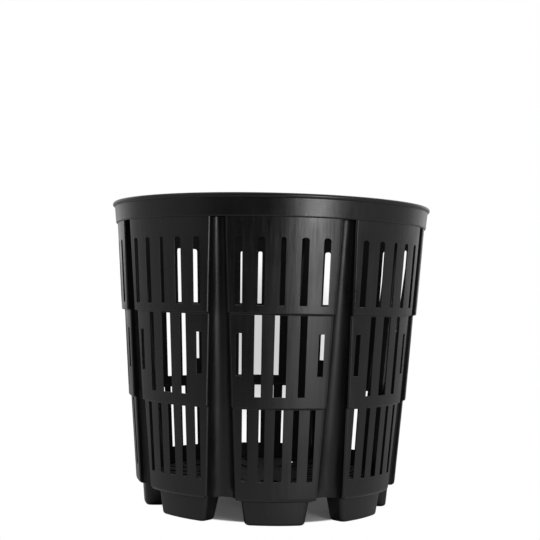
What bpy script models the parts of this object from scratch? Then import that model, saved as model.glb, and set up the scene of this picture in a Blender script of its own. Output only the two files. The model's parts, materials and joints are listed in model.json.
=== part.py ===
"""Root pruning pot: a black moulded pot with eight slotted, stepped wall panels.

Between the panels run eight flutes, which guide roots down the wall.  A rim band closes
the top, a slotted floor closes the bottom, and a foot stands under each panel.
Metres, +Z up.  The origin is on the axis, on the ground, and panel 1 faces -Y.
"""

from math import atan, cos, hypot, pi, radians, sin

import bmesh
import bpy
from mathutils import Matrix, Vector

# Overall form
PANEL_COUNT = 8
WALL = 0.0020                   # moulded wall thickness
GAP = 0.0003                    # clearance between neighbouring pieces
FACETS_PER_PANEL = 8            # straight facets across one panel pitch

# Rim band
LIP_RADIUS = 0.1300             # tip of the lip, the widest point of the pot
LIP_OVERHANG = 0.0017           # lip beyond the band's face
LIP_HEIGHT = 0.0036             # height of the rounded lip
BAND_HEIGHT = 0.0169            # band with its lip
BAND_TAPER = 0.0012             # the band narrows by this from top to bottom

# Three wall tiers, each set in from the one above
BAND_STEP = 0.0014
TIER_1_HEIGHT = 0.0694
TIER_1_TAPER = 0.0051
TIER_2_STEP = 0.0024
TIER_2_HEIGHT = 0.0684
TIER_2_TAPER = 0.0050
TIER_3_STEP = 0.0019
TIER_3_HEIGHT = 0.0689
TIER_3_TAPER = 0.0059
PANEL_ROUND = 0.0036            # rounding where the wall turns in under the pot
PANEL_CORNER = 0.0040           # rounding of a panel's lower corners, seen from the front

# Slots of tier 1: five alike
TIER_1_SLOT_WIDTH = 0.0060
TIER_1_SLOT_TURN = radians(7.44)
TIER_1_SLOT_TOP = 0.0143        # below the band
TIER_1_SLOT_BOTTOM = 0.0060     # above the step
SLOT_CORNER = 0.0020            # rounding of the upper slot corners

# Slots of tier 2: a wide one, two beside it, and a short one at each end
TIER_2_SLOT_WIDTH = 0.0092
TIER_2_SIDE_WIDTH = 0.0053
TIER_2_SIDE_TURN = radians(8.07)
TIER_2_END_WIDTH = 0.0044
TIER_2_END_TURN = radians(14.91)
TIER_2_SLOT_BOTTOM = 0.0082     # above the step
TIER_2_END_TOP = 0.0141         # below the step above
TIER_2_END_BOTTOM = 0.0234      # above the step below

# Slots of tier 3: a wider one and two at each side
TIER_3_SLOT_WIDTH = 0.0062
TIER_3_SIDE_WIDTH = 0.0043
TIER_3_SIDE_TURN = radians(6.45)
TIER_3_SLOT_BOTTOM = 0.0151     # above the panel's lower edge
STEP_MARGIN = 0.0005            # wall left between a step and the slots that start at it

# Flutes between the panels
FLUTE_TOP_WIDTH = 0.0110        # between the flanks at the band
FLUTE_BOTTOM_WIDTH = 0.0220     # between the flanks at the floor
FLUTE_TOP_DEPTH = 0.0085        # below the wall's face at the band
FLUTE_BOTTOM_DEPTH = 0.0144     # below the wall's face at the lower edge
FLANGE_LAP = 0.0020             # the rim's flange covers the flutes' lids by this

# Feet under the panels
FOOT_HEIGHT = 0.0182            # ground to the panel's lower edge
FOOT_SETBACK = 0.0013           # foot's face inside the floor's edge
FOOT_DEPTH = 0.0140             # radial depth of a foot at its top
FOOT_SIDE_SETBACK = 0.0054      # foot's sides inside the panel's lower edge
FOOT_SIDE_DRAFT = 0.0032        # each side leans in by this on the way down
FOOT_FACE_DRAFT = 0.0020        # the front and back faces lean in by this
FOOT_ROUND = 0.0022
FOOT_FACETS = 5

# Drain slots of the floor, in two rings inside the feet
DRAIN_COUNT = 24
DRAIN_RIB = 0.0070              # floor left between the rings
DRAIN_EDGE = 0.0025             # floor left between the outer ring and the feet
DRAIN_OUTER_LENGTH = 0.0200
DRAIN_OUTER_WIDTH = 0.0060
DRAIN_INNER_LENGTH = 0.0240
DRAIN_INNER_WIDTH = 0.0040
CUT_MARGIN = 0.0030             # how far a cutter reaches past what it cuts

# Fineness of the rounded forms
ARC_STEPS = 4                   # straight pieces in a rounded corner or in the lip
FLUTE_STEPS = 5                 # straight pieces in each half of a flute's round
EDGE_STEPS = 2                  # straight pieces in a small rounded edge
SHARP = radians(30.0)           # edges that turn more than this stay crisp
WELD = 0.00001

# Grey level and roughness of the plastic on each kind of piece
PANEL_FINISH = (0.020, 0.42)
FLUTE_FINISH = (0.018, 0.50)
RIM_FINISH = (0.020, 0.40)
FOOT_FINISH = (0.018, 0.46)
FLOOR_FINISH = (0.016, 0.52)

# Levels, from the ground up
PITCH = 2.0 * pi / PANEL_COUNT
HALF_PITCH = PITCH / 2.0
FRONT = -pi / 2.0               # direction of panel 1
Z_PANEL = FOOT_HEIGHT
Z_STEP_3 = Z_PANEL + TIER_3_HEIGHT
Z_STEP_2 = Z_STEP_3 + TIER_2_HEIGHT
Z_BAND = Z_STEP_2 + TIER_1_HEIGHT
Z_TOP = Z_BAND + BAND_HEIGHT
Z_FLOOR = Z_PANEL + WALL + GAP
Z_FLOOR_TOP = Z_FLOOR + WALL
Z_FOOT_TOP = Z_FLOOR - GAP

# Radii of the outer face, from the lip down
R_BAND_TOP = LIP_RADIUS - LIP_OVERHANG
R_BAND = R_BAND_TOP - BAND_TAPER
R_TIER_1 = R_BAND - BAND_STEP
R_TIER_1_LOW = R_TIER_1 - TIER_1_TAPER
R_TIER_2 = R_TIER_1_LOW - TIER_2_STEP
R_TIER_2_LOW = R_TIER_2 - TIER_2_TAPER
R_TIER_3 = R_TIER_2_LOW - TIER_3_STEP
R_TIER_3_LOW = R_TIER_3 - TIER_3_TAPER


def flute_radius(z):
    """Radius of the flute's deepest line, which runs straight behind the stepped wall."""
    top = R_TIER_1 - FLUTE_TOP_DEPTH
    bottom = R_TIER_3_LOW - FLUTE_BOTTOM_DEPTH
    return bottom + (top - bottom) * (z - Z_PANEL) / (Z_BAND - Z_PANEL)


def flute_half_width(z):
    """Half the flute's width, which grows evenly on the way down."""
    share = (Z_BAND - z) / (Z_BAND - Z_FLOOR)
    return (FLUTE_TOP_WIDTH + share * (FLUTE_BOTTOM_WIDTH - FLUTE_TOP_WIDTH)) / 2.0


R_FLOOR = R_TIER_3_LOW - PANEL_ROUND
R_FOOT = R_FLOOR - FOOT_SETBACK
R_DRAIN_OUTER = R_FOOT - FOOT_DEPTH - DRAIN_EDGE
R_DRAIN_INNER = R_DRAIN_OUTER - DRAIN_OUTER_LENGTH - DRAIN_RIB


# Small helpers

def arc(centre, radius, start, end, steps):
    """Points on an arc, from the start angle to the end angle."""
    angles = [start + (end - start) * i / steps for i in range(steps + 1)]
    return [(centre[0] + radius * cos(a), centre[1] + radius * sin(a)) for a in angles]


def new_collection(name):
    collection = bpy.data.collections.new(name)
    bpy.context.scene.collection.children.link(collection)
    return collection


def new_object(name, bm, collection):
    """Object with the finished mesh, its faces pointing out."""
    bmesh.ops.recalc_face_normals(bm, faces=bm.faces)
    mesh = bpy.data.meshes.new(name)
    bm.to_mesh(mesh)
    bm.free()
    obj = bpy.data.objects.new(name, mesh)
    collection.objects.link(obj)
    return obj


def new_cutter(name, bm):
    cutter = new_object(name, bm, CUTTERS)
    cutter.hide_render = True
    cutter.display_type = "WIRE"
    return cutter


def cut(obj, cutter, operation):
    """Apply one exact boolean to the object's own mesh."""
    modifier = obj.modifiers.new(operation.title(), "BOOLEAN")
    modifier.operation = operation
    modifier.solver = "EXACT"
    modifier.object = cutter
    depsgraph = bpy.context.evaluated_depsgraph_get()
    result = bpy.data.meshes.new_from_object(obj.evaluated_get(depsgraph))
    obj.modifiers.clear()
    before = obj.data
    obj.data = result
    bpy.data.meshes.remove(before)
    result.name = obj.name


def sweep(profile, half_angle, steps):
    """Solid that a closed (radius, height) profile sweeps about Z, centred on the front."""
    bm = bmesh.new()
    face = bm.faces.new([bm.verts.new((r, 0.0, z)) for r, z in profile])
    turn = Matrix.Rotation(FRONT - half_angle, 3, "Z")
    bmesh.ops.rotate(bm, verts=bm.verts, matrix=turn)
    bmesh.ops.spin(bm, geom=[face, *face.edges, *face.verts], axis=(0.0, 0.0, 1.0),
                   cent=(0.0, 0.0, 0.0), angle=2.0 * half_angle, steps=steps)
    return bm


def loft(low, high):
    """Solid between two outlines with equally many points."""
    bm = bmesh.new()
    for outline in (low, high):
        ring = [bm.verts.new(p) for p in outline]
        for start, end in zip(ring, ring[1:] + ring[:1]):
            bm.edges.new((start, end))
    bmesh.ops.bridge_loops(bm, edges=bm.edges)
    bmesh.ops.holes_fill(bm, edges=bm.edges)
    return bm


def plastic(name, look):
    """Black moulded polypropylene."""
    grey, roughness = look
    material = bpy.data.materials.new(name)
    material.use_nodes = True
    shader = material.node_tree.nodes["Principled BSDF"]
    shader.inputs["Base Color"].default_value = (grey, grey, grey, 1.0)
    shader.inputs["Roughness"].default_value = roughness
    shader.inputs["Metallic"].default_value = 0.0
    material.diffuse_color = (grey, grey, grey, 1.0)
    return material


def finish(obj, material):
    """Smooth shading with crisp edges, and the piece's material."""
    obj.data.materials.clear()
    obj.data.materials.append(material)
    obj.data.shade_smooth()
    obj.data.set_sharp_from_angle(angle=SHARP)


def ring_of(first, name):
    """Eight copies around the pot, which share the first one's mesh."""
    start = first.rotation_euler.z
    for number in range(PANEL_COUNT):
        obj = first if number == 0 else bpy.data.objects.new(name, first.data)
        obj.name = f"{name}_{number + 1}"
        if number:
            PARTS.objects.link(obj)
        obj.parent = POT
        obj.rotation_euler.z = start + number * PITCH


# Wall profile

def wall_line(inset):
    """Outer face of the wall from the band to the turned-in lower edge, moved in by inset."""
    slope = atan(TIER_3_TAPER / TIER_3_HEIGHT)
    low_face = R_TIER_3_LOW + TIER_3_TAPER * PANEL_ROUND / TIER_3_HEIGHT
    centre = (low_face - PANEL_ROUND / cos(slope), Z_PANEL + PANEL_ROUND)
    line = [
        (R_TIER_1 - inset, Z_BAND - GAP),
        (R_TIER_1_LOW - inset, Z_STEP_2 + inset),
        (R_TIER_2 - inset, Z_STEP_2 + inset),
        (R_TIER_2_LOW - inset, Z_STEP_3 + inset),
        (R_TIER_3 - inset, Z_STEP_3 + inset),
    ]
    return line + arc(centre, PANEL_ROUND - inset, -slope, -pi / 2.0, ARC_STEPS)


def wall_profile():
    """Closed section of a panel, with a ledge that runs in to the foot."""
    ledge = R_FOOT + GAP
    outer = wall_line(0.0) + [(ledge, Z_PANEL)]
    inner = wall_line(WALL) + [(ledge, Z_PANEL + WALL)]
    return outer + inner[::-1]


# Flutes

def flute_outline(z, offset):
    """Level section of the flute's channel, a round U whose walls are moved back by offset."""
    half = flute_half_width(z)
    radius = half + offset
    round_part = arc((0.0, flute_radius(z) + half), radius, -pi, 0.0, 2 * FLUTE_STEPS)
    mouth = LIP_RADIUS + CUT_MARGIN
    return [(u, -r, z) for u, r in [(-radius, mouth), *round_part, (radius, mouth)]]


def flute_solid(offset, low, high):
    """The channel as a solid, centred on the front."""
    return loft(flute_outline(low, offset), flute_outline(high, offset))


def make_flutes(material):
    """Channels with a wall behind them and a lid under the rim."""
    high = Z_BAND - GAP
    flute = new_object("flute", flute_solid(WALL, Z_FLOOR, high), PARTS)
    lining = wall_line(WALL + GAP)
    axis_side = [(R_FOOT - FOOT_DEPTH, z) for z in (lining[-1][1], Z_BAND + CUT_MARGIN)]
    top = [(R_TIER_1 - WALL - GAP, Z_BAND + CUT_MARGIN)]
    inside = new_cutter("inside_of_wall", sweep(top + lining + axis_side, HALF_PITCH, FACETS_PER_PANEL))
    hollow = new_cutter("flute_hollow", flute_solid(0.0, Z_PANEL - CUT_MARGIN, high - WALL))
    cut(flute, inside, "INTERSECT")
    cut(flute, hollow, "DIFFERENCE")
    finish(flute, material)
    flute.rotation_euler.z = HALF_PITCH
    ring_of(flute, "flute")


# Wall panels

def slot_box(bm, tier, turn, width, low, high, corner=0.0):
    """Upright slot at an angle from the panel's middle."""
    outer, inner = tier
    middle = (outer + inner) / 2.0
    depth = outer - inner + WALL + 2.0 * CUT_MARGIN
    made = bmesh.ops.create_cube(bm, size=1.0)["verts"]
    bmesh.ops.scale(bm, verts=made, vec=(width, depth, high - low))
    bmesh.ops.translate(bm, verts=made, vec=(0.0, WALL / 2.0 - middle, (low + high) / 2.0))
    if corner:
        edges = {e for v in made for e in v.link_edges}
        upper = [e for e in edges if all(v.co.z > high - GAP for v in e.verts)
                 and abs(e.verts[0].co.x - e.verts[1].co.x) < GAP]
        bevelled = bmesh.ops.bevel(bm, geom=upper, offset=corner, segments=EDGE_STEPS, profile=0.5,
                                   affect="EDGES")
        made = list({v for f in bevelled["faces"] for v in f.verts} | {v for v in made if v.is_valid})
    bmesh.ops.rotate(bm, verts=made, matrix=Matrix.Rotation(turn, 3, "Z"))


def slot_cutter():
    """All fifteen slots of one panel."""
    bm = bmesh.new()
    tier_1 = (R_TIER_1, R_TIER_1_LOW)
    tier_2 = (R_TIER_2, R_TIER_2_LOW)
    tier_3 = (R_TIER_3, R_TIER_3_LOW)
    for place in range(-2, 3):
        slot_box(bm, tier_1, place * TIER_1_SLOT_TURN, TIER_1_SLOT_WIDTH,
                 Z_STEP_2 + TIER_1_SLOT_BOTTOM, Z_BAND - TIER_1_SLOT_TOP, SLOT_CORNER)
        width = TIER_3_SIDE_WIDTH if place else TIER_3_SLOT_WIDTH
        slot_box(bm, tier_3, place * TIER_3_SIDE_TURN, width,
                 Z_PANEL + TIER_3_SLOT_BOTTOM, Z_STEP_3 - STEP_MARGIN)
    slot_box(bm, tier_2, 0.0, TIER_2_SLOT_WIDTH, Z_STEP_3 + TIER_2_SLOT_BOTTOM, Z_STEP_2 - STEP_MARGIN)
    for side in (-1, 1):
        slot_box(bm, tier_2, side * TIER_2_SIDE_TURN, TIER_2_SIDE_WIDTH,
                 Z_STEP_3 + TIER_2_SLOT_BOTTOM, Z_STEP_2 - STEP_MARGIN)
        slot_box(bm, tier_2, side * TIER_2_END_TURN, TIER_2_END_WIDTH,
                 Z_STEP_3 + TIER_2_END_BOTTOM, Z_STEP_2 - TIER_2_END_TOP)
    return new_cutter("panel_slots", bm)


def panel_half_width():
    """Half the width of a panel's lower edge, between the flutes' flanks."""
    return R_TIER_3_LOW * sin(HALF_PITCH) - flute_half_width(Z_PANEL) * cos(HALF_PITCH)


def outline_cutter():
    """Front outline of a panel with rounded lower corners, as a prism along -Y."""
    half = panel_half_width()
    upper = LIP_RADIUS * sin(HALF_PITCH)
    lean = upper - half
    corner = arc((half - PANEL_CORNER, Z_PANEL + PANEL_CORNER), PANEL_CORNER, -pi / 2.0, 0.0, ARC_STEPS)
    right = corner + [(half + lean, Z_BAND + CUT_MARGIN)]
    outline = right + [(-x, z) for x, z in right[::-1]]
    near = R_FOOT * cos(HALF_PITCH) - WALL - CUT_MARGIN
    far = LIP_RADIUS + CUT_MARGIN
    return new_cutter("panel_outline", loft([(x, -near, z) for x, z in outline],
                                            [(x, -far, z) for x, z in outline]))


def make_panels(material):
    channel = new_cutter("flute_channel", flute_solid(0.0, Z_PANEL - CUT_MARGIN, Z_BAND + CUT_MARGIN))
    panel = new_object("wall_panel", sweep(wall_profile(), HALF_PITCH, FACETS_PER_PANEL), PARTS)
    for side in (-1, 1):
        channel.rotation_euler.z = side * HALF_PITCH
        cut(panel, channel, "DIFFERENCE")
    cut(panel, outline_cutter(), "INTERSECT")
    cut(panel, slot_cutter(), "DIFFERENCE")
    finish(panel, material)
    ring_of(panel, "wall_panel")


# Rim band

def rim_profile():
    """Section of the band: a rounded lip, a tapered face and a flange over wall and lids."""
    flange = R_TIER_1 - WALL - GAP - FLANGE_LAP
    half_lip = LIP_HEIGHT / 2.0
    tip = (LIP_RADIUS - half_lip, Z_TOP - half_lip)
    lip = arc(tip, half_lip, pi / 2.0, -pi / 2.0, ARC_STEPS)
    inner_lip = R_BAND_TOP - WALL
    outer = lip + [(R_BAND_TOP, Z_TOP - LIP_HEIGHT), (R_BAND, Z_BAND), (flange, Z_BAND)]
    inner = [(flange, Z_BAND + WALL), (R_BAND - WALL, Z_BAND + WALL), (inner_lip, Z_TOP - half_lip),
             (inner_lip + half_lip, Z_TOP)]
    return outer + inner


def make_rim(material):
    bm = bmesh.new()
    points = [bm.verts.new((r, 0.0, z)) for r, z in rim_profile()]
    for start, end in zip(points, points[1:] + points[:1]):
        bm.edges.new((start, end))
    mesh = bpy.data.meshes.new("rim_band")
    bm.to_mesh(mesh)
    bm.free()
    rim = bpy.data.objects.new("rim_band", mesh)
    PARTS.objects.link(rim)
    screw = rim.modifiers.new("Turn", "SCREW")
    screw.axis = "Z"
    screw.angle = 2.0 * pi
    screw.steps = PANEL_COUNT * FACETS_PER_PANEL
    screw.render_steps = screw.steps
    screw.use_merge_vertices = True
    screw.merge_threshold = WELD
    finish(rim, material)
    rim.parent = POT


# Feet

def foot_block(inset, top):
    """Foot under panel 1 as a solid block with drafted sides, its walls moved in by inset."""
    rise = FOOT_FACE_DRAFT * (top - Z_FOOT_TOP) / Z_FOOT_TOP
    front = R_FOOT - inset
    back = R_FOOT - FOOT_DEPTH + inset
    profile = [
        (front + rise, top),
        (front - FOOT_FACE_DRAFT, inset),
        (back + FOOT_FACE_DRAFT, inset),
        (back - rise, top),
    ]
    half = panel_half_width() - FOOT_SIDE_SETBACK - inset
    bm = sweep(profile, half / R_FOOT, FOOT_FACETS)
    for vert in bm.verts:
        drop = (Z_FOOT_TOP - vert.co.z) / Z_FOOT_TOP
        parallel = R_FOOT / hypot(vert.co.x, vert.co.y)
        vert.co.x *= parallel * (1.0 - drop * FOOT_SIDE_DRAFT / half)
    return bm


def make_feet(material):
    block = foot_block(0.0, Z_FOOT_TOP)
    block.normal_update()
    lower = [e for e in block.edges if e.calc_face_angle() > SHARP
             and min(v.co.z for v in e.verts) < Z_FOOT_TOP - GAP]
    bmesh.ops.bevel(block, geom=lower, offset=FOOT_ROUND, segments=EDGE_STEPS, profile=0.5, affect="EDGES")
    foot = new_object("foot", block, PARTS)
    pocket = new_cutter("foot_pocket", foot_block(WALL, Z_FLOOR_TOP + CUT_MARGIN))
    cut(foot, pocket, "DIFFERENCE")
    finish(foot, material)
    ring_of(foot, "foot")
    return pocket


# Floor

def drain_box(bm, angle, end, length, width):
    """Radial slot that runs in from its outer end."""
    made = bmesh.ops.create_cube(bm, size=1.0)["verts"]
    bmesh.ops.scale(bm, verts=made, vec=(width, length, WALL + 2.0 * CUT_MARGIN))
    place = Vector((0.0, length / 2.0 - end, (Z_FLOOR + Z_FLOOR_TOP) / 2.0))
    bmesh.ops.translate(bm, verts=made, vec=place)
    bmesh.ops.rotate(bm, verts=made, matrix=Matrix.Rotation(angle, 3, "Z"))


def make_floor(pocket, material):
    bm = bmesh.new()
    bmesh.ops.create_cone(bm, cap_ends=True, segments=PANEL_COUNT * FACETS_PER_PANEL,
                          radius1=R_FLOOR, radius2=R_FLOOR, depth=WALL)
    bmesh.ops.translate(bm, verts=bm.verts, vec=(0.0, 0.0, Z_FLOOR + WALL / 2.0))
    floor = new_object("floor_grate", bm, PARTS)
    drains = bmesh.new()
    for number in range(DRAIN_COUNT):
        angle = (number + 0.5) * 2.0 * pi / DRAIN_COUNT
        drain_box(drains, angle, R_DRAIN_OUTER, DRAIN_OUTER_LENGTH, DRAIN_OUTER_WIDTH)
        drain_box(drains, angle, R_DRAIN_INNER, DRAIN_INNER_LENGTH, DRAIN_INNER_WIDTH)
    cut(floor, new_cutter("floor_drains", drains), "DIFFERENCE")
    notch_solid = flute_solid(WALL + GAP, Z_FLOOR - CUT_MARGIN, Z_FLOOR_TOP + CUT_MARGIN)
    notch = new_cutter("flute_notch", notch_solid)
    for number in range(PANEL_COUNT):
        pocket.rotation_euler.z = number * PITCH
        cut(floor, pocket, "DIFFERENCE")
        notch.rotation_euler.z = number * PITCH + HALF_PITCH
        cut(floor, notch, "DIFFERENCE")
    finish(floor, material)
    floor.parent = POT


# Build

for leftover in list(bpy.data.objects):
    bpy.data.objects.remove(leftover)
PARTS = new_collection("root_pruning_pot")
CUTTERS = new_collection("cutters")
POT = bpy.data.objects.new("pot_axis", None)
PARTS.objects.link(POT)

make_flutes(plastic("flute_plastic", FLUTE_FINISH))
make_panels(plastic("panel_plastic", PANEL_FINISH))
make_rim(plastic("rim_plastic", RIM_FINISH))
foot_pocket = make_feet(plastic("foot_plastic", FOOT_FINISH))
make_floor(foot_pocket, plastic("floor_plastic", FLOOR_FINISH))
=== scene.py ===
# %% [markdown]
# # A root pruning pot
# The pot is one black moulding: a rim band, eight stepped and slotted wall panels, eight
# flutes between them, a slotted floor and eight feet. The packed frame holds these as plain
# solids. Here each one gets a finer skin in its place, with rounded edges and a worn, grained
# plastic, in a white studio. Lengths are in metres, +Z is up, and panel 1 faces -Y.

# %% Load the frame
import json
from math import atan, atan2, cos, pi, radians, sin, sqrt

import bmesh
import bpy
from mathutils import Matrix, Vector

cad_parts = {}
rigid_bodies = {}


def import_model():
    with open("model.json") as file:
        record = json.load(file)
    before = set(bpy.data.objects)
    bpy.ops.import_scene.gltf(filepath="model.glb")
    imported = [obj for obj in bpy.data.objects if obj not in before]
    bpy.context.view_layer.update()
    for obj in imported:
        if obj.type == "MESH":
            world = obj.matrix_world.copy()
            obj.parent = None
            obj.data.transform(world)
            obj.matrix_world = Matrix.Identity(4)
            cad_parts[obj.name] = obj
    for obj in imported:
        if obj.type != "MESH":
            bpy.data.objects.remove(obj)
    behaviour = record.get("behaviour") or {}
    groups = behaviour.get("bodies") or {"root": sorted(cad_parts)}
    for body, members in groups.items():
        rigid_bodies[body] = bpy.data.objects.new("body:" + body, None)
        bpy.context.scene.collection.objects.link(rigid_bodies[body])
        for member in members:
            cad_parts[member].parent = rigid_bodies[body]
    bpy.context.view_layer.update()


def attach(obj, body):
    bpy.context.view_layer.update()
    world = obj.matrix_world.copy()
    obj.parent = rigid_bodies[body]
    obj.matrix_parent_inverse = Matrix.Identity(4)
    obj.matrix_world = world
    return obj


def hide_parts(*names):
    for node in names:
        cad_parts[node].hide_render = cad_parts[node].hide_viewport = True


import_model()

# %% [markdown]
# ## Camera
# The photograph was taken from a little above the middle of the wall with a moderate
# telephoto lens, and it leans by a degree. Fitting the rim, the steps and the feet as circles
# gives the camera: its distance, height, upward pitch and roll. The lens follows from the
# focal length in pixels of a 540 pixel frame. The camera could be aimed with a Track To
# constraint, but that leaves no roll, so its turns are written as one product of matrices.

# %% Camera
FRAME_PIXELS = 540.0
FOCAL_PIXELS = 1060.6
CAMERA_AZIMUTH = radians(-4.6)      # from panel 1, positive to the right
CAMERA_DISTANCE = 0.8779
CAMERA_HEIGHT = 0.1673
CAMERA_PITCH = radians(1.49)
CAMERA_ROLL = radians(1.267)


def around(azimuth, distance, height):
    """Point at an angle from panel 1, positive to the right as seen from the front."""
    return Vector((distance * sin(azimuth), -distance * cos(azimuth), height))


bpy.ops.object.select_all(action="DESELECT")
bpy.ops.object.camera_add()
camera = bpy.context.object
camera.name = "photo_camera"
camera.data.sensor_fit = "HORIZONTAL"
camera.data.lens = camera.data.sensor_width * FOCAL_PIXELS / FRAME_PIXELS
camera.matrix_world = (Matrix.Translation(around(CAMERA_AZIMUTH, CAMERA_DISTANCE, CAMERA_HEIGHT))
                       @ Matrix.Rotation(CAMERA_AZIMUTH, 4, "Z")
                       @ Matrix.Rotation(pi / 2.0 + CAMERA_PITCH, 4, "X")
                       @ Matrix.Rotation(CAMERA_ROLL, 4, "Z"))
bpy.context.scene.camera = camera
bpy.context.scene.view_settings.view_transform = "Standard"
print("lens", round(camera.data.lens, 2), "mm at", tuple(round(v, 3) for v in camera.location))

# %% [markdown]
# ## Writing shaders as sums
# Wear and grain are small sums of noises. Adding each Math node by hand hides the sum, so a
# small class wraps a socket: +, - and * on it add the Math nodes, and one method adds any
# other node with its settings and inputs.


# %% Sockets with arithmetic
class Wire:
    """An output socket of a node tree, which can be added, subtracted and multiplied."""

    def __init__(self, tree, socket=None):
        self.tree = tree
        self.socket = socket

    def node(self, kind, settings=None, inputs=None, output=0):
        """Any node: its settings first, then the values or links of its inputs."""
        made = self.tree.nodes.new(kind)
        for key, value in (settings or {}).items():
            setattr(made, key, value)
        for key, value in (inputs or {}).items():
            if isinstance(value, Wire):
                value.into(made.inputs[key])
            else:
                made.inputs[key].default_value = value
        return Wire(self.tree, made.outputs[output])

    def into(self, socket):
        self.tree.links.new(self.socket, socket)

    def maths(self, operation, first, second):
        return self.node("ShaderNodeMath", {"operation": operation}, {0: first, 1: second})

    def __add__(self, other):
        return self.maths("ADD", self, other)

    def __sub__(self, other):
        return self.maths("SUBTRACT", self, other)

    def __rsub__(self, other):
        return self.maths("SUBTRACT", other, self)

    def __mul__(self, other):
        return self.maths("MULTIPLY", self, other)

    __radd__ = __add__
    __rmul__ = __mul__


print("a wire knows", [name for name in vars(Wire) if name.startswith("__r")])

# %% [markdown]
# ## World
# The background of the photograph is pure white at the pot's outline, and a little greyer
# where it is seen through the slots. The black plastic mirrors the room: dark at the camera's
# side, grey at the sides and white behind the pot. Cards and cloths could stand around the
# pot, as in a real studio. Here the world does all three by the direction of the ray, so
# nothing has to be hidden from the camera.

# %% World
AMBIENT = 0.40
WHITE = 1.0
SIDE_GREY = 0.38                    # how bright the studio's sides are in reflections
NEAR_SIDE_GREY = 0.26               # what is added to the sides nearer to the camera
NEAR_SIDES = (0.0, 0.45)            # it comes in between these leans of a ray to the camera
CAMERA_DARK = (0.58, 0.84)          # so does the dark at the camera's side
WHITE_BEHIND = (-0.30, -0.85)       # and the white behind the pot
# Painted shade: the background seen by the camera is made darker behind the pot's middle.
PAINTED_BACKDROP_SHADE = 0.40                         # how much darker the background is in the middle of the pot
PAINTED_SHADE_SPREAD = radians(4.8)
POT_MIDDLE = Vector((0.0, 0.0, 0.13))


def ray_kinds(start):
    """Two wires: 1 for camera and see-through rays, and 1 for mirrored rays."""
    camera_ray, glossy_ray, clear_ray = (
        start.node("ShaderNodeLightPath", output=name)
        for name in ("Is Camera Ray", "Is Glossy Ray", "Is Transmission Ray"))
    return camera_ray + clear_ray, glossy_ray


def along(start, vector, axis):
    """How far the vector reaches along an axis."""
    return start.node("ShaderNodeVectorMath", {"operation": "DOT_PRODUCT"}, {0: vector, 1: axis}, "Value")


def ease(start, value, low, high):
    """0 at the low value and 1 at the high one, with soft ends."""
    return start.node("ShaderNodeMapRange", {"interpolation_type": "SMOOTHSTEP"},
                      {"Value": value, "From Min": low, "From Max": high})


TO_CAMERA = around(CAMERA_AZIMUTH, 1.0, 0.0)
world = bpy.data.worlds.new("white_studio")
bpy.context.scene.world = world
world.use_nodes = True
sky = Wire(world.node_tree)
direction = sky.node("ShaderNodeTexCoord", output="Generated")
facing = along(sky, direction, TO_CAMERA)
sides = SIDE_GREY + NEAR_SIDE_GREY * ease(sky, facing, *NEAR_SIDES)
mirrored = (sides * (1.0 - ease(sky, facing, *CAMERA_DARK))
            + (WHITE - SIDE_GREY) * ease(sky, facing, *WHITE_BEHIND))
# Painted shade on the backdrop, centred on the line from the camera to the pot's middle.
behind_pot = along(sky, direction, (POT_MIDDLE - camera.location).normalized())
backdrop = WHITE - PAINTED_BACKDROP_SHADE * ease(sky, behind_pot, cos(PAINTED_SHADE_SPREAD), 1.0)
seen, glossy = ray_kinds(sky)
studio = AMBIENT + seen * (backdrop - AMBIENT) + glossy * (mirrored - AMBIENT)
studio.into(world.node_tree.nodes["Background"].inputs["Color"])
print("world", world.name, "with ambient", AMBIENT)

# %% [markdown]
# ## Studio floor
# The floor shows as a white disc that melts into the background. Under the pot its matte
# paint keeps the shadow, lifted by a faint painted glow. In reflections it carries painted
# light: it fades towards the camera as a lit tabletop would, with a painted pool of light
# below the key lamp. From below it is clear, so that the underside can be seen. All of this
# depends on the place on the floor and on the kind of ray, so one plane with mixed shaders does it.

# %% Studio floor
FLOOR_SIZE = 8.0
FLOOR_GREY, FLOOR_ROUGHNESS = 0.86, 0.9
# Painted light: a faint glow that lifts the shadow under the pot.
PAINTED_UNDER_GLOW = 0.035                  # faint fill under the pot
SHADOW_EDGE = (0.083, 0.089)        # radii between which the shadow under the pot ends
DISC_EDGE = (0.24, 0.33)            # radii between which the disc melts away
# Painted light in reflections: the floor by the pot glows for mirrored rays. It is dark under the pot and
# fades towards the camera, with a painted pool of light below the key lamp.
PAINTED_TABLE_GLOW = 0.42                   # how bright the floor by the pot is in reflections
PAINTED_TABLE_START = (0.092, 0.104)        # radii between which it comes in
PAINTED_TABLE_FADE = (0.90, 0.10)           # distances towards the camera where it is dark and full
PAINTED_POOL_GREY = 0.80                    # how bright the pool of light is in reflections
POOL = around(radians(21.0), 0.62, 0.0)
PAINTED_POOL_FADE = (0.42, 0.08)            # distances from its middle where it is dark and full

bpy.ops.object.select_all(action="DESELECT")
bpy.ops.mesh.primitive_plane_add(size=FLOOR_SIZE)
studio_floor = bpy.context.object
studio_floor.name = "studio_floor"
pale = bpy.data.materials.new("pale_floor")
pale.use_nodes = True
floor_tree = pale.node_tree
matte = floor_tree.nodes["Principled BSDF"]
matte.inputs["Base Color"].default_value = (FLOOR_GREY, FLOOR_GREY, FLOOR_GREY, 1.0)
matte.inputs["Roughness"].default_value = FLOOR_ROUGHNESS
matte.inputs["Specular IOR Level"].default_value = 0.0
ground = Wire(floor_tree)
place = ground.node("ShaderNodeTexCoord", output="Object")
from_axis = ground.node("ShaderNodeVectorMath", {"operation": "LENGTH"}, {0: place}, "Value")
from_pool = ground.node("ShaderNodeVectorMath", {"operation": "DISTANCE"}, {0: place, 1: POOL}, "Value")
outside_pot = ease(ground, from_axis, *SHADOW_EDGE)
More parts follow.
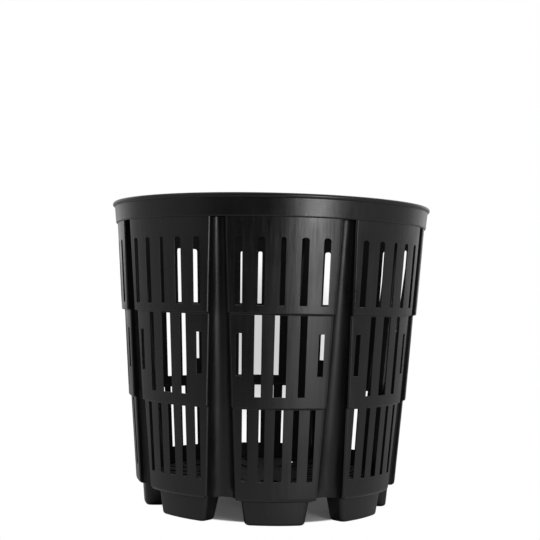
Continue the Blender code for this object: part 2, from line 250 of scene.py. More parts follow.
# Painted light that the pot mirrors: the glowing tabletop by the pot and the painted pool.
painted_table_share = (ease(ground, along(ground, place, TO_CAMERA), *PAINTED_TABLE_FADE)
            * ease(ground, from_axis, *PAINTED_TABLE_START))
seen, glossy = ray_kinds(ground)
painted_table_light = painted_table_share * PAINTED_TABLE_GLOW + ease(ground, from_pool, *PAINTED_POOL_FADE) * PAINTED_POOL_GREY
glow = ground.node("ShaderNodeEmission", {}, {"Color": seen * WHITE + glossy * painted_table_light})
# The floor glows white outside the pot, and a faint painted glow lifts the shade under it.
glowing = (seen + glossy) * outside_pot + seen * (1.0 - outside_pot) * PAINTED_UNDER_GLOW
lit = ground.node("ShaderNodeMixShader", {}, {
    0: glowing, 1: Wire(floor_tree, matte.outputs[0]), 2: glow})
from_above = 1.0 - ground.node("ShaderNodeNewGeometry", output="Backfacing")
solid = (1.0 - ease(ground, from_axis, *DISC_EDGE)) * from_above
faded = ground.node("ShaderNodeMixShader", {}, {
    0: seen * (1.0 - solid), 1: lit, 2: ground.node("ShaderNodeBsdfTransparent")})
faded.into(floor_tree.nodes["Material Output"].inputs["Surface"])
studio_floor.data.materials.append(pale)
print("floor", FLOOR_SIZE, "m wide")

# %% [markdown]
# ## Lamps
# A soft lamp to the right of the camera makes the upright highlights on the wall. A large one
# above and behind the pot lights the rim and the inside. Area lamps give soft edges, which a
# point lamp wouldn't.


# %% Lamps
def softbox(name, azimuth, distance, height, size, power):
    """Rectangular lamp that looks at the middle of the pot."""
    spot = around(radians(azimuth), distance, height)
    bpy.ops.object.light_add(type="AREA", location=spot)
    lamp = bpy.context.object
    lamp.name = name
    lamp.data.shape = "RECTANGLE"
    lamp.data.size, lamp.data.size_y = size
    lamp.data.energy = power
    lamp.rotation_euler = (POT_MIDDLE - spot).to_track_quat("-Z", "Y").to_euler()


softbox("key_softbox", azimuth=26.5, distance=1.5, height=0.26, size=(0.55, 0.5), power=8.5)
softbox("top_softbox", azimuth=150.0, distance=1.6, height=1.9, size=(1.2, 1.2), power=6.0)

# %% [markdown]
# ## Sizes
# The skins share the levels and the outer radii of the packed solids, so every piece lands in
# its place with no fitting. The wall at the slots is thinner and the flutes are a little
# shallower than in the solids, because the light that shines through pairs of slots asks for it.

# %% Levels and radii of the pot
PANEL_COUNT = 8
PITCH = 2.0 * pi / PANEL_COUNT
HALF_PITCH = PITCH / 2.0
FRONT = -pi / 2.0
WALL = 0.0020                       # rim, floor and feet
SKIN = 0.0009                       # panels and flutes, which are thin at their slots
Z_PANEL, Z_STEP_3, Z_STEP_2, Z_BAND, Z_TOP = 0.0182, 0.0871, 0.1555, 0.2249, 0.2418
R_LIP, R_BAND_TOP, R_BAND = 0.1300, 0.1283, 0.1271
TIER_1 = (0.1257, 0.1206)           # radius of the outer face at the top and at the bottom
TIER_2 = (0.1182, 0.1132)
TIER_3 = (0.1113, 0.1054)
PANEL_ROUND = 0.0036                # rounding where the wall turns in under the pot
PANEL_CORNER = 0.0040               # rounding of a panel's lower corners
FLUTE_WIDTH_TOP, FLUTE_WIDTH_LOW = 0.0110, 0.0220
FLUTE_DEPTH_TOP, FLUTE_DEPTH_LOW = 0.0077, 0.0136
Z_FLUTE_LOW = 0.0189
Z_FLOOR = 0.0205
R_FLOOR = 0.1018
R_FOOT = 0.1005


def flute_radius(z):
    """Radius of the flute's deepest line, which runs straight behind the stepped wall."""
    top, low = TIER_1[0] - FLUTE_DEPTH_TOP, TIER_3[1] - FLUTE_DEPTH_LOW
    return low + (top - low) * (z - Z_PANEL) / (Z_BAND - Z_PANEL)


def flute_half_width(z):
    """Half the flute's width, which grows evenly on the way down."""
    share = (Z_BAND - z) / (Z_BAND - Z_PANEL)
    return (FLUTE_WIDTH_TOP + share * (FLUTE_WIDTH_LOW - FLUTE_WIDTH_TOP)) / 2.0


print("flute radius at band and floor", round(flute_radius(Z_BAND), 4), round(flute_radius(Z_FLOOR), 4))

# %% [markdown]
# ## Drawing outlines
# Most sections of the pot are outlines: a vertex is extruded from point to point, as with E
# and a typed distance. These helpers do what the mouse would do: start an object, draw an
# outline and select by place. Selecting by place still works when an edit changes the
# vertices' numbers.

# %% Drawing outlines
DOT = 0.0001                        # size of the plane that shrinks to a first vertex
SAME_PLACE = 1e-6                   # vertices nearer than this are one


def fresh():
    """Object mode with nothing selected."""
    if bpy.context.mode != "OBJECT":
        bpy.ops.object.mode_set(mode="OBJECT")
    bpy.ops.object.select_all(action="DESELECT")


def choose(*objects):
    """Select these objects, with the first one active."""
    fresh()
    for obj in objects:
        obj.select_set(True)
    bpy.context.view_layer.objects.active = objects[0]


def begin(name):
    """An empty mesh object at the origin, in edit mode."""
    fresh()
    bpy.ops.mesh.primitive_plane_add(size=DOT)
    obj = bpy.context.object
    obj.name = name
    bpy.ops.object.mode_set(mode="EDIT")
    bpy.ops.mesh.select_mode(type="VERT")
    bpy.ops.mesh.delete(type="VERT")
    return obj


def draw_loop(points):
    """A closed outline: one vertex, extruded from point to point and welded at its start."""
    bpy.ops.mesh.primitive_plane_add(size=DOT, location=points[0])
    bpy.ops.mesh.merge(type="CENTER")
    for here, there in zip(points, points[1:] + points[:1]):
        bpy.ops.mesh.extrude_region_move(TRANSFORM_OT_translate={"value": Vector(there) - Vector(here)})
    bpy.ops.mesh.select_linked()
    bpy.ops.mesh.remove_doubles(threshold=SAME_PLACE)


def select_where(test, kind="verts"):
    """In edit mode, select the vertices, edges or faces that pass the test."""
    bpy.ops.mesh.select_all(action="DESELECT")
    bpy.ops.mesh.select_mode(type={"verts": "VERT", "edges": "EDGE", "faces": "FACE"}[kind])
    shape = bmesh.from_edit_mesh(bpy.context.object.data)
    for item in getattr(shape, kind):
        item.select_set(bool(test(item)))
    shape.select_flush_mode()
    bmesh.update_edit_mesh(bpy.context.object.data)


def arc(centre, radius, start, end, steps):
    """Points on an arc, from the start angle to the end angle."""
    angles = [start + (end - start) * i / steps for i in range(steps + 1)]
    return [(centre[0] + radius * cos(a), centre[1] + radius * sin(a)) for a in angles]


print("an outline starts from a plane of", DOT, "m")

# %% [markdown]
# ## Solids from outlines
# An outline becomes a solid in two ways. It is spun about the pot's axis, or several outlines
# are bridged one to the next. A spin keeps a turned shape true, and a bridge follows a section
# that changes with its height. Both end with the normals turned outwards.


# %% Solids from outlines
def tidy_normals():
    """Turn all faces outwards and leave edit mode."""
    bpy.ops.mesh.select_all(action="SELECT")
    bpy.ops.mesh.normals_make_consistent(inside=False)
    bpy.ops.object.mode_set(mode="OBJECT")


def tag_ring(number):
    """Remember the selected vertices as one ring of a skin."""
    shape = bmesh.from_edit_mesh(bpy.context.object.data)
    layer = shape.verts.layers.int.get("ring") or shape.verts.layers.int.new("ring")
    for vert in shape.verts:
        if vert.select:
            vert[layer] = number


def select_rings(*numbers):
    """Select the rings with these numbers."""
    layer = bmesh.from_edit_mesh(bpy.context.object.data).verts.layers.int["ring"]
    select_where(lambda vert: vert[layer] in numbers)


def bridged(name, loops):
    """Solid skinned over closed outlines with equally many points, with both ends closed."""
    obj = begin(name)
    for number, loop in enumerate(loops, 1):
        draw_loop(loop)
        tag_ring(number)
    for number in range(1, len(loops)):
        select_rings(number, number + 1)
        bpy.ops.mesh.bridge_edge_loops()
    for end in (1, len(loops)):
        select_rings(end)
        bpy.ops.mesh.edge_face_add()
    tidy_normals()
    obj.data.attributes.remove(obj.data.attributes["ring"])
    return obj


def spun(name, profile, half_angle, steps):
    """Solid that a closed (radius, height) section makes when it is spun about the axis."""
    obj = begin(name)
    start = FRONT + half_angle      # the spin operator turns clockwise
    draw_loop([(r * cos(start), r * sin(start), z) for r, z in profile])
    bpy.ops.mesh.spin(steps=steps, angle=2.0 * half_angle, center=(0.0, 0.0, 0.0), axis=(0.0, 0.0, 1.0))
    bpy.ops.mesh.select_all(action="SELECT")
    bpy.ops.mesh.remove_doubles(threshold=SAME_PLACE)
    bpy.ops.mesh.fill_holes(sides=0)
    tidy_normals()
    return obj


print("solids are made by", [maker.__name__ for maker in (bridged, spun)])

# %% [markdown]
# ## Cutting, copying and smoothing
# Booleans cut the openings, and what repeats is made once and copied around the axis. An
# exact boolean can leave slivers where two surfaces nearly meet, so each cut is welded.
# Smooth shading with weighted normals keeps the large faces true and lets the roundings shine.

# %% Cutting, copying and smoothing
SLIVER = 5e-6                       # edges shorter than this are slivers
SMOOTH_ANGLE = radians(32.0)
FACE_WEIGHT = 80                    # how much large faces rule the normals


def apply(piece, kind, **settings):
    """Add a modifier with these settings and apply it."""
    choose(piece)
    modifier = piece.modifiers.new(kind.title(), kind)
    for key, value in settings.items():
        setattr(modifier, key, value)
    bpy.ops.object.modifier_apply(modifier=modifier.name)


def cut(piece, cutter, operation="DIFFERENCE"):
    """Cut with an exact boolean, and weld the slivers that it leaves."""
    apply(piece, "BOOLEAN", operation=operation, solver="EXACT", object=cutter)
    bpy.ops.object.mode_set(mode="EDIT")
    bpy.ops.mesh.select_all(action="SELECT")
    bpy.ops.mesh.remove_doubles(threshold=SLIVER)
    bpy.ops.mesh.dissolve_degenerate(threshold=SLIVER)
    bpy.ops.object.mode_set(mode="OBJECT")


def turned_copy(obj, angle, name):
    """A copy with its own mesh, turned about the pot's axis."""
    choose(obj)
    bpy.ops.object.duplicate()
    copy = bpy.context.object
    copy.name = name
    copy.rotation_euler.z = angle
    bpy.ops.object.transform_apply(location=False, rotation=True, scale=False)
    return copy


def joined(objects):
    """The objects as one object, named as the first."""
    choose(*objects)
    bpy.ops.object.join()
    return bpy.context.object


def smooth(piece):
    """Smooth shading over rounded edges, with large faces kept true."""
    choose(piece)
    bpy.ops.object.shade_smooth_by_angle(angle=SMOOTH_ANGLE)
    apply(piece, "WEIGHTED_NORMAL", keep_sharp=True, weight=FACE_WEIGHT)


print("edges sharper than", round(SMOOTH_ANGLE, 2), "radians stay sharp")

# %% [markdown]
# ## Black moulded plastic
# Polypropylene filled with carbon black is nearly black, with a satin skin. Up close it has a
# fine mould grain, faint upright flow streaks, cloudy patches where the skin is duller, and
# light scuffs. Painted maps could show these, but noise on object coordinates needs no
# unwrapping, stays sharp at any distance and stays fixed to the pot.

# %% Plastic finish
GRAIN_SIZE = 1400.0                 # noise cells per metre
STREAK_STRETCH = (420.0, 420.0, 9.0)
CLOUD_SIZE = 26.0
SCUFF_STRETCH = (95.0, 95.0, 900.0)
SCUFF_START, SCUFF_FULL = 0.66, 0.76    # noise values between which a scuff comes in
EVEN = 0.5                          # middle of a noise
TONE, CLOUD_TONE, STREAK_TONE, SCUFF_TONE = 0.75, 0.4, 0.5, 0.9
CLOUD_DULL, STREAK_DULL, SCUFF_DULL = 0.36, 0.26, 0.10
GRAIN_HEIGHT, STREAK_HEIGHT, CLOUD_HEIGHT = 0.5, 1.6, 2.0
BUMP_STRENGTH, BUMP_DISTANCE = 0.25, 0.0002
COOL = 1.02                         # blue against red and green
BLACK = (0.0, 0.0, 0.0, 1.0)


def black_plastic(name, grey, roughness, gloss=0.5, flow=1.0):
    """Satin black plastic with grain, streaks, cloudy patches and scuffs."""
    material = bpy.data.materials.new(name)
    material.use_nodes = True
    tree = material.node_tree
    shader = tree.nodes["Principled BSDF"]
    shader.inputs["Specular IOR Level"].default_value = gloss
    spot = Wire(tree).node("ShaderNodeTexCoord", output="Object")

    def noise(size, detail, stretch=None):
        vector = spot
        if stretch:
            vector = spot.node("ShaderNodeMapping", inputs={"Vector": spot, "Scale": stretch})
        return spot.node("ShaderNodeTexNoise", inputs={"Vector": vector, "Scale": size, "Detail": detail})

    grain = noise(GRAIN_SIZE, detail=2.0)
    streaks = (noise(1.0, detail=3.0, stretch=STREAK_STRETCH) - EVEN) * flow
    clouds = noise(CLOUD_SIZE, detail=5.0)
    scratch = noise(1.0, detail=2.0, stretch=SCUFF_STRETCH)
    worn = spot.node("ShaderNodeMapRange", inputs={
        "Value": scratch, "From Min": SCUFF_START, "From Max": SCUFF_FULL})
    tone = TONE + clouds * CLOUD_TONE + streaks * STREAK_TONE + worn * SCUFF_TONE
    colour = spot.node("ShaderNodeMix", {"data_type": "RGBA", "clamp_factor": False}, {
        0: tone, 6: BLACK, 7: (grey, grey, grey * COOL, 1.0)}, output=2)
    colour.into(shader.inputs["Base Color"])
    dull = roughness + (clouds - EVEN) * CLOUD_DULL + streaks * STREAK_DULL + worn * SCUFF_DULL
    dull.into(shader.inputs["Roughness"])
    height = grain * GRAIN_HEIGHT + streaks * STREAK_HEIGHT + clouds * CLOUD_HEIGHT
    bump = spot.node("ShaderNodeBump", inputs={
        "Strength": BUMP_STRENGTH, "Distance": BUMP_DISTANCE, "Height": height})
    bump.into(shader.inputs["Normal"])
    return material


panel_black = black_plastic("panel_black", grey=0.006, roughness=0.34)
flute_black = black_plastic("flute_black", grey=0.006, roughness=0.34)
rim_black = black_plastic("rim_black", grey=0.006, roughness=0.32, flow=0.45)
foot_black = black_plastic("foot_black", grey=0.006, roughness=0.38)
floor_black = black_plastic("floor_black", grey=0.014, roughness=0.52, gloss=0.02)
core_black = black_plastic("core_black", grey=0.009, roughness=0.58, gloss=0.16)
print("finishes", [m.name for m in bpy.data.materials if m.name.endswith("_black")])

# %% [markdown]
# ## Putting a skin in its place
# A finished skin gets its plastic and stands for one solid of the frame. The mould's core
# leaves the inside of the wall duller than the outside, so the faces that look at the pot's
# axis get a second material. Through the slots they then stay dark.

# %% Putting a skin in its place
LOOKS_IN = -0.3                     # a face looks in when its normal leans inwards by this


def dull_inside(piece, material):
    """Give a skin its plastic, and the faces that look at the pot's axis the duller one."""
    piece.data.materials.append(material)
    piece.data.materials.append(core_black)
    choose(piece)
    bpy.ops.object.mode_set(mode="EDIT")
    select_where(lambda f: f.normal.xy.dot(f.calc_center_median().xy.normalized()) < LOOKS_IN, "faces")
    piece.active_material_index = 1
    bpy.ops.object.material_slot_assign()
    bpy.ops.object.mode_set(mode="OBJECT")


def settle(piece, material, node):
    """Let a finished skin stand for its solid, and give it its plastic if it has none."""
    if not piece.data.materials:
        piece.data.materials.append(material)
    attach(piece, "root")
    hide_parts(node)


print("inside faces get", core_black.name)

# %% [markdown]
# ## Rim band
# The band is a turned shape: a rounded lip, a slightly tapered face and a flange that closes
# the tops of the wall and flutes. A bevelled cylinder could do, but its lip and flange need
# different radii, so the section is drawn once with its roundings and spun all the way round.

# %% Rim band
ROUND_STEPS = 8                     # straight pieces in a rounded edge
CORNER_STEPS = 3                    # straight pieces in a small rounded corner
CORNER_POINTS = CORNER_STEPS + 1
SIDE_SHARE = 2.2                    # a corner takes at most 1 / 2.2 of the sides beside it
RIM_STEPS = 288
EDGE = 0.0005                       # small rounding of moulded edges
LIP_HALF = 0.0018
BAND_ROUND = 0.0012                 # rounding of the band's lower edge
FLANGE_LAP = 0.0023                 # the flange covers the flutes' lids by this


def rounded(points, radius):
    """The (radius, height) outline with every corner rounded by about the radius."""
    made = []
    for before, corner, after in zip(points[-1:] + points[:-1], points, points[1:] + points[:1]):
        here = Vector(corner)
        back, ahead = Vector(before) - here, Vector(after) - here
        reach = min(radius, back.length / SIDE_SHARE, ahead.length / SIDE_SHARE)
        start, end = here + back.normalized() * reach, here + ahead.normalized() * reach
        for i in range(CORNER_POINTS):
            t = i / CORNER_STEPS
            made.append(tuple(start * (1 - t) ** 2 + here * 2 * t * (1 - t) + end * t ** 2))
    return made


def rim_section():
    """The band's section: its lip, then the other corners, the lower outer one with an arc."""
    flange = TIER_1[0] - WALL - FLANGE_LAP
    tip = (R_LIP - LIP_HALF, Z_TOP - LIP_HALF)
    lip = arc(tip, LIP_HALF, pi / 2.0, -pi / 2.0, ROUND_STEPS)
    low_edge = arc((R_BAND - BAND_ROUND, Z_BAND + BAND_ROUND), BAND_ROUND, 0.0, -pi / 2.0, ROUND_STEPS)
    rest = rounded([(R_BAND_TOP, Z_TOP - 2.0 * LIP_HALF), (R_BAND, Z_BAND), (flange, Z_BAND),
                    (flange, Z_BAND + WALL), (R_BAND - WALL, Z_BAND + WALL),
                    (R_BAND_TOP - WALL, Z_TOP - LIP_HALF), (R_BAND_TOP - WALL + LIP_HALF, Z_TOP)], EDGE)
    return lip + rest[:CORNER_POINTS] + low_edge + rest[2 * CORNER_POINTS:]


rim = spun("pot_rim", rim_section(), pi, RIM_STEPS)
smooth(rim)
settle(rim, rim_black, "rim_band")
print("rim", len(rim.data.polygons), "faces")

# %% [markdown]
# ## The wall's outer line
# From the side the wall is a line: three leaning tiers, each set in from the one above, and a
# large rounding where it turns in under the pot. The steps' corners are rounded a little. The
# same line, moved in by the wall's thickness, is the inner face, so the wall is equally thick.

# %% The wall's outer line
STEP_FALL = 0.0002                  # the undersides of the steps fall by this
LOW_SLOPE = atan((TIER_3[0] - TIER_3[1]) / (Z_STEP_3 - Z_PANEL))
LOW_POINT = (0.0008, 0.0092)        # a point of the lowest face, out and up from its lower end


def low_centre():
    """Centre of the rounding where the wall turns in under the pot."""
    lean = (TIER_3[0] - TIER_3[1]) * PANEL_ROUND / (Z_STEP_3 - Z_PANEL)
    return (TIER_3[1] + lean - PANEL_ROUND / cos(LOW_SLOPE), Z_PANEL + PANEL_ROUND)


def wall_line(inset):
    """Outer face of the wall from the band down, moved in by inset, with rounded steps."""
    corners = [
        (TIER_1[0] - inset, Z_BAND),
        (TIER_1[1] - inset, Z_STEP_2 + inset),
        (TIER_2[0] - inset, Z_STEP_2 + inset - STEP_FALL),
        (TIER_2[1] - inset, Z_STEP_3 + inset),
        (TIER_3[0] - inset, Z_STEP_3 + inset - STEP_FALL),
        (TIER_3[1] - inset + LOW_POINT[0], Z_PANEL + LOW_POINT[1]),
    ]
    steps = rounded(corners, 2.0 * EDGE)[CORNER_POINTS:-CORNER_POINTS]
    turn_in = arc(low_centre(), PANEL_ROUND - inset, -LOW_SLOPE, -pi / 2.0, ROUND_STEPS)
    return corners[:1] + steps + turn_in


outer_line = wall_line(0.0)
print("outer line", len(outer_line), "points")

# %% [markdown]
# ## Flute channels
# A flute is a straight tapered channel with a round bottom and upright flanks. Where a flank
# meets a panel, the panel's edge is rounded over. A bevel after the cut would stumble over the
# steps, so the rounding is part of the cutter, which is made once from level outlines that
# follow the stepped face of the wall.

# %% Flute channels
VALLEY_STEPS = 14                   # straight pieces in each half of a flute's round
EDGE_FILLET = 0.0020                # rounding of a panel's edges along the flutes
FILLET_RISE = 0.0001                # the rounding leaves the wall's face by this, so the cut is clean
PAST_FACE, PAST_LIP = 0.004, 0.006  # the cutter reaches past the wall's face and the lip by these
CLEAR = 0.003                       # cutters reach past their pieces' ends by this


def channel_outline(radius, z, widen):
    """Level outline of the channel: a round U, its flanks and the panels' rounded edges."""
    half, deep = flute_half_width(z), flute_radius(z)
    reach = radius - EDGE_FILLET + FILLET_RISE
    across = half + widen + EDGE_FILLET
    centre = (across, sqrt(reach * reach - across * across))
    rise = min(half, centre[1] - deep - FILLET_RISE)
    valley = [(u * (half + widen), deep + rise * (1.0 + v))
              for u, v in arc((0.0, 0.0), 1.0, -pi / 2.0, 0.0, VALLEY_STEPS)]
    edge = arc(centre, EDGE_FILLET, pi, atan2(centre[1], centre[0]), ROUND_STEPS)
    beyond = Vector(edge[-1]) * (1.0 + PAST_FACE / radius)
    right = valley + edge + [tuple(beyond), (beyond.x, R_LIP + PAST_LIP)]
    left = [(-u, r) for u, r in right[:0:-1]]
    return [(u, -r, z) for u, r in right + left]


def channel_cutter():
    """The channel as a solid, wider where the panels' lower corners are rounded."""
    loops = []
    corner_level = Z_PANEL + PANEL_CORNER
    first, second = Vector(outer_line[0]), Vector(outer_line[1])
    top = first + (first - second).normalized() * CLEAR
    for r, z in [tuple(top)] + outer_line:
        drop = max(0.0, corner_level - z) / PANEL_CORNER
        widen = PANEL_CORNER * (1.0 - sqrt(max(0.0, 1.0 - drop * drop)))
        loops.append(channel_outline(r, z, widen))
    loops.append([(x, y, z - CLEAR) for x, y, z in loops[-1]])
    return bridged("channel_cutter", loops)


channel = channel_cutter()
print("channel", len(channel.data.polygons), "faces")

# %% [markdown]
# ## Slot cutters
# A slot is a box with rounded upper corners that goes through the wall. Its mouth is rounded
# over, and behind its throat it widens inwards, so that even a slanting look goes through.
# The cutter carries these roundings, because a cut edge on a curved wall is hard to bevel.
# Each kind of slot is made once and turned to its places.

# %% Slot cutters
MOUTH_ROUND = 0.0002                # rounding of a slot's outer edge
INNER_FLARE = 0.00025               # widening on each side, from the throat to the wall's inner face
PAST_WALL = 0.0008                  # the cutter reaches past the wall by this
MOUTH_STEPS = 3
SLOT_STEPS = 4
NEAR = 0.0001                       # places and lengths within this count as equal
STRAIGHT = 0.9                      # a face looks along an axis when its normal reaches this far
TIER_ENDS = {TIER_1: (Z_BAND, Z_STEP_2), TIER_2: (Z_STEP_2, Z_STEP_3), TIER_3: (Z_STEP_3, Z_PANEL)}


def slot_cutter(name, tier, width, low, high, corner=0.0):
    """Box through the wall, leaning with the tier, with a rounded mouth on its face."""
    z_high, z_low = TIER_ENDS[tier]
    middle = (low + high) / 2.0
    face = tier[1] + (tier[0] - tier[1]) * (middle - z_low) / (z_high - z_low)
    run = SKIN - MOUTH_ROUND
    depth = run + PAST_WALL
    centre = (0.0, -face, middle)
    fresh()
    bpy.ops.mesh.primitive_cube_add(size=1.0, scale=(width, depth, high - low),
                                    location=(0.0, -(face - MOUTH_ROUND - depth / 2.0), middle))
    slot = bpy.context.object
    slot.name = name
    bpy.ops.object.transform_apply(location=True, rotation=False, scale=True)
    bpy.ops.object.mode_set(mode="EDIT")
    if corner:
        select_where(lambda e: all(v.co.z > high - NEAR for v in e.verts)
                     and abs(e.verts[0].co.x - e.verts[1].co.x) < NEAR, "edges")
        bpy.ops.mesh.bevel(offset=corner, segments=SLOT_STEPS, affect="EDGES")
    select_where(lambda f: f.normal.y > STRAIGHT, "faces")
    flared = 1.0 + 2.0 * INNER_FLARE * depth / run / width
    bpy.ops.transform.resize(value=(flared, 1.0, 1.0), center_override=centre)
    select_where(lambda f: f.normal.y < -STRAIGHT, "faces")
    mouth = arc((MOUTH_ROUND, 0.0), MOUTH_ROUND, pi, pi / 2.0, MOUTH_STEPS)
    for (grown, risen), (more, higher) in zip(mouth, mouth[1:]):
        bpy.ops.mesh.extrude_region_move(TRANSFORM_OT_translate={"value": (0.0, risen - higher, 0.0)})
        wider = (width + 2.0 * more) / (width + 2.0 * grown)
        taller = (high - low + 2.0 * more) / (high - low + 2.0 * grown)
        bpy.ops.transform.resize(value=(wider, 1.0, taller), center_override=centre)
    bpy.ops.mesh.extrude_region_move(TRANSFORM_OT_translate={"value": (0.0, -CLEAR, 0.0)})
    tidy_normals()
    lean = atan((tier[0] - tier[1]) / (z_high - z_low))
    slot.matrix_world = (Matrix.Translation(centre) @ Matrix.Rotation(lean, 4, "X")
                         @ Matrix.Translation(centre).inverted())
    choose(slot)
    bpy.ops.object.transform_apply(location=True, rotation=True, scale=False)
    return slot


def spread(tool, places, shift=0.0):
    """Copies of a cutter at these angles, all moved on by the shift, in place of the cutter."""
    made = [turned_copy(tool, angle + shift, tool.name + "_copy") for angle in places]
    bpy.data.objects.remove(tool)
    return made


print("a slot cuts", round(SKIN + PAST_WALL, 4), "m deep")

# %% [markdown]
# ## Slots of one panel
# The upper tier has five tall slots with round upper corners, the middle one narrower. The
# middle tier has a wide slot with one beside it on each side, and a short one near each edge.
# The lowest tier has five slots that end a little above the floor. All of them are joined, so
# that one boolean cuts them.

# %% Slots of one panel
TIER_1_LOW, TIER_2_LOW, TIER_3_LOW = 0.0060, 0.0082, 0.0151   # rises above the tiers' lower ends
BAND_MARGIN = 0.0143                # the tall slots stop this far below the band
STEP_MARGIN = 0.0009                # other slots stop this far below a step
SHORT_LOW, SHORT_MARGIN = 0.0234, 0.0141
SLOT_CORNER, NARROW_CORNER = 0.0020, 0.0014
TIER_1_SIDE, TIER_1_END, TIER_2_SIDE, TIER_2_END, TIER_3_TURN = (
    radians(angle) for angle in (7.35, 14.95, 8.07, 14.91, 6.45))
SLOT_SHIFT = radians(-0.25)         # upper slots stand this far left of the middle

tier_1_span = {"low": Z_STEP_2 + TIER_1_LOW, "high": Z_BAND - BAND_MARGIN}
tier_2_span = {"low": Z_STEP_3 + TIER_2_LOW, "high": Z_STEP_2 - STEP_MARGIN}
short_span = {"low": Z_STEP_3 + SHORT_LOW, "high": Z_STEP_2 - SHORT_MARGIN}
tier_3_span = {"low": Z_PANEL + TIER_3_LOW, "high": Z_STEP_3 - STEP_MARGIN}
tall = slot_cutter("tall_slot", TIER_1, width=0.0055, corner=SLOT_CORNER, **tier_1_span)
narrow = slot_cutter("narrow_slot", TIER_1, width=0.0037, corner=NARROW_CORNER, **tier_1_span)
wide = slot_cutter("wide_slot", TIER_2, width=0.0090, **tier_2_span)
beside = slot_cutter("side_slot", TIER_2, width=0.0052, **tier_2_span)
short = slot_cutter("short_slot", TIER_2, width=0.0043, **short_span)
low_wide = slot_cutter("low_wide_slot", TIER_3, width=0.0060, **tier_3_span)
low_side = slot_cutter("low_side_slot", TIER_3, width=0.0042, **tier_3_span)
shifted_places = (
    (tall, (-TIER_1_END, -TIER_1_SIDE, TIER_1_SIDE, TIER_1_END)), (narrow, (0.0,)),
    (wide, (0.0,)), (beside, (-TIER_2_SIDE, TIER_2_SIDE)), (short, (-TIER_2_END, TIER_2_END)))
slot_copies = [copy for tool, places in shifted_places for copy in spread(tool, places, SLOT_SHIFT)]
slot_copies += [low_wide] + spread(low_side, [TIER_3_TURN * i for i in (-2, -1, 1, 2)])
slots = joined(slot_copies)
print("slots", len(slots.data.polygons), "faces")

# %% [markdown]
# ## Wall panels
# The wall's section is spun over one eighth of a turn. The channel takes off both sides, the
# slots go through, and the finished panel is copied around the pot. An Array modifier could
# repeat it, but each panel is to be a piece with its own mesh.

# %% Wall panels
PANEL_STEPS = 36
LEDGE_LAP = 0.0006                  # the wall's turned-in edge reaches this far over the foot
LEDGE = R_FOOT - LEDGE_LAP
panel_section = outer_line + [(LEDGE, Z_PANEL), (LEDGE, Z_PANEL + SKIN)] + wall_line(SKIN)[::-1]
panel = spun("pot_panel_1", panel_section, HALF_PITCH, PANEL_STEPS)
for side in (-1, 1):
    edge_cutter = turned_copy(channel, side * HALF_PITCH, "edge_cutter")
    cut(panel, edge_cutter)
    bpy.data.objects.remove(edge_cutter)
cut(panel, slots)
bpy.data.objects.remove(slots)
smooth(panel)
dull_inside(panel, panel_black)
for number in range(1, PANEL_COUNT + 1):
    skin = panel if number == 1 else turned_copy(panel, (number - 1) * PITCH, f"pot_panel_{number}")
    settle(skin, panel_black, f"wall_panel_{number}")
print("panel", len(panel.data.polygons), "faces")

# %% [markdown]
# ## Flutes
# The flute is the channel with a wall behind it and a lid beside the rim's flange, kept only
# inside the wall's inner face. It is made at the front, where its outlines are easy to write.
# The copies are turned to their places first, and then the flute itself.

# %% Flutes
OVERLAP = 0.0002                    # flutes reach this far into the panels, so no seam shows
LID = WALL - OVERLAP                # thickness of a flute's lid, level with the rim's flange


def plain_channel(name, offset, low, high, mouth):
    """The channel with straight flanks, its walls moved back by the offset."""
    loops = []
    for z in (low, high):
        half = flute_half_width(z)
        valley = arc((0.0, flute_radius(z) + half), half + offset, -pi, 0.0, 2 * VALLEY_STEPS)
        section = [(-half - offset, mouth)] + valley + [(half + offset, mouth)]
        loops.append([(u, -r, z) for u, r in section])
    return bridged(name, loops)


flute = plain_channel("pot_flute_1", SKIN, Z_FLUTE_LOW, Z_BAND + LID, R_LIP)
lining = wall_line(SKIN - OVERLAP)
core = flute_radius(Z_PANEL) - 2.0 * WALL
inside_section = ([(TIER_1[0] - SKIN + OVERLAP, Z_BAND + CLEAR)] + lining
                  + [(LEDGE + OVERLAP, lining[-1][1]), (LEDGE + OVERLAP, Z_PANEL), (core, Z_PANEL),
                     (core, Z_BAND + CLEAR)])
inside = spun("inside_of_wall", inside_section, HALF_PITCH, PANEL_STEPS)
hollow = plain_channel("flute_hollow", 0.0, Z_PANEL - CLEAR, Z_BAND, R_LIP + CLEAR)
cut(flute, inside, "INTERSECT")
cut(flute, hollow)
for tool in (inside, hollow, channel):
    bpy.data.objects.remove(tool)
smooth(flute)
dull_inside(flute, flute_black)
for number in range(PANEL_COUNT, 0, -1):
    turn = (number - 0.5) * PITCH
    skin = turned_copy(flute, turn, f"pot_flute_{number}") if number > 1 else flute
    if number == 1:
        flute.rotation_euler.z = turn
        choose(flute)
        bpy.ops.object.transform_apply(location=False, rotation=True, scale=False)
    settle(skin, flute_black, f"flute_{number}")
print("flute", len(flute.data.polygons), "faces")

# %% [markdown]
# ## Feet
# A foot is a curved block with leaning sides and a rounded sole, hollow from above. Its level
# outline follows the wall's curve and has rounded corners. The outline is drawn at a few
# heights, a little smaller each time on the way down, and the outlines are bridged. A cube
# with bevels would have flat faces, and its corners would shrink with the lean of its sides.

# %% Feet
FOOT_DEPTH, POCKET_DEPTH, FOOT_WIDTH = 0.0190, 0.0140, 0.0504
FOOT_SIDE_DRAFT, FOOT_FACE_DRAFT = 0.0032, 0.0020
FOOT_ROUND, FOOT_CORNER = 0.0022, 0.0048
FOOT_STEPS = 12
FOOT_LAP = 0.0002                   # the feet reach into the floor by this, so no seam shows
POCKET_RISE = 0.006                 # the pocket's cutter reaches above the floor's underside by this
Z_FOOT_TOP = Z_FLOOR + FOOT_LAP


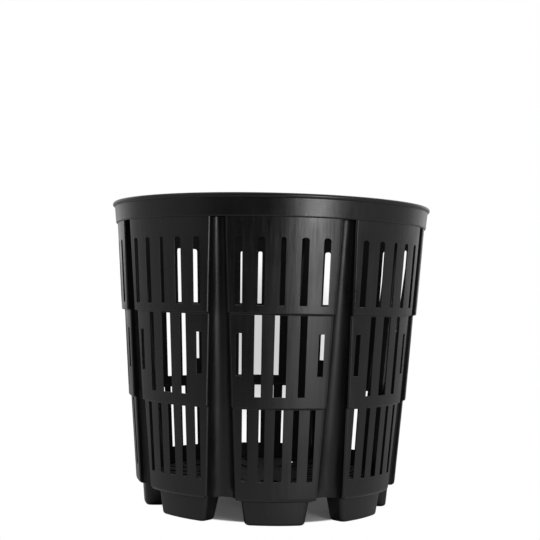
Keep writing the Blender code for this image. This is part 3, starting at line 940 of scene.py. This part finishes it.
def foot_outline(z, inset, depth=FOOT_DEPTH):
    """Level outline of a foot, moved in by the inset."""
    share = 1.0 - z / Z_FOOT_TOP
    round_off = FOOT_CORNER - inset
    across = FOOT_WIDTH / 2.0 - FOOT_SIDE_DRAFT * share - FOOT_CORNER
    front = R_FOOT - FOOT_FACE_DRAFT * share - FOOT_CORNER
    back = R_FOOT - depth + FOOT_FACE_DRAFT * share + FOOT_CORNER
    outer = (across, sqrt(front * front - across * across))
    inner = (across, sqrt(back * back - across * across))
    lean_out, lean_in = atan2(outer[1], outer[0]), atan2(inner[1], inner[0])
    face = arc((0.0, 0.0), front + round_off, pi - lean_out, lean_out, FOOT_STEPS)
    rear = arc((0.0, 0.0), back - round_off, lean_in, pi - lean_in, FOOT_STEPS)
    right = arc(outer, round_off, lean_out, 0.0, ROUND_STEPS)[1:]
    right += arc(inner, round_off, 0.0, lean_in - pi, ROUND_STEPS)[:-1]
    left = [(-u, r) for u, r in right[::-1]]
    return [(u, -r, z) for u, r in face + right + rear + left]


sole = arc((FOOT_ROUND, FOOT_ROUND), FOOT_ROUND, pi, 1.5 * pi, ROUND_STEPS)
foot = bridged("pot_foot_1", [foot_outline(z, inset) for z, inset in sole + [(Z_FOOT_TOP, 0.0)]])
pocket = bridged("foot_pocket", [foot_outline(z, WALL, POCKET_DEPTH) for z in (WALL, Z_FLOOR + POCKET_RISE)])
cut(foot, pocket)
smooth(foot)
for number in range(1, PANEL_COUNT + 1):
    skin = foot if number == 1 else turned_copy(foot, (number - 1) * PITCH, f"pot_foot_{number}")
    settle(skin, foot_black, f"foot_{number}")
print("foot", len(foot.data.polygons), "faces")

# %% [markdown]
# ## Floor
# The floor is a disc with two rings of radial drain slots, an opening over each foot and a
# notch at each flute. The drains are boxes with rounded ends, the openings are the feet's
# pockets and the notches are short pieces of the channel, so all of them fit their neighbours.

# %% Floor
DRAIN_COUNT = 24
DRAINS = ((0.0640, 0.0200, 0.0060), (0.0330, 0.0240, 0.0040))   # start, length and width
DRAIN_HEIGHT = 0.010                # height of the drains' cutters
DRAIN_END, DRAIN_STEPS = 0.49, 5    # rounding of the ends in widths, and its straight pieces
FLOOR_STEPS = 192

fresh()
bpy.ops.mesh.primitive_cylinder_add(vertices=FLOOR_STEPS, radius=R_FLOOR, depth=WALL,
                                    location=(0.0, 0.0, Z_FLOOR + WALL / 2.0))
floor = bpy.context.object
floor.name = "pot_floor"
bpy.ops.object.transform_apply(location=True, rotation=False, scale=False)
openings = []
for start, length, width in DRAINS:
    fresh()
    bpy.ops.mesh.primitive_cube_add(size=1.0, scale=(width, length, DRAIN_HEIGHT),
                                    location=(0.0, -start - length / 2.0, Z_FLOOR + WALL / 2.0))
    drain = bpy.context.object
    drain.name = "drain"
    bpy.ops.object.transform_apply(location=True, rotation=False, scale=True)
    bpy.ops.object.mode_set(mode="EDIT")
    select_where(lambda e: abs(e.verts[0].co.z - e.verts[1].co.z) > NEAR, "edges")
    bpy.ops.mesh.bevel(offset=width * DRAIN_END, segments=DRAIN_STEPS, affect="EDGES")
    bpy.ops.object.mode_set(mode="OBJECT")
    openings += spread(drain, [(i + 0.5) * 2.0 * pi / DRAIN_COUNT for i in range(DRAIN_COUNT)])
openings = joined(openings + spread(pocket, [i * PITCH for i in range(PANEL_COUNT)]))
notch = plain_channel("flute_notch", SKIN - OVERLAP, Z_FLOOR - CLEAR, Z_FLOOR + WALL + CLEAR, R_LIP)
notches = joined(spread(notch, [(i + 0.5) * PITCH for i in range(PANEL_COUNT)]))
for tool in (openings, notches):
    cut(floor, tool)
    bpy.data.objects.remove(tool)
smooth(floor)
settle(floor, floor_black, "floor_grate")
print("floor", len(floor.data.polygons), "faces")

# %% Finish
fresh()
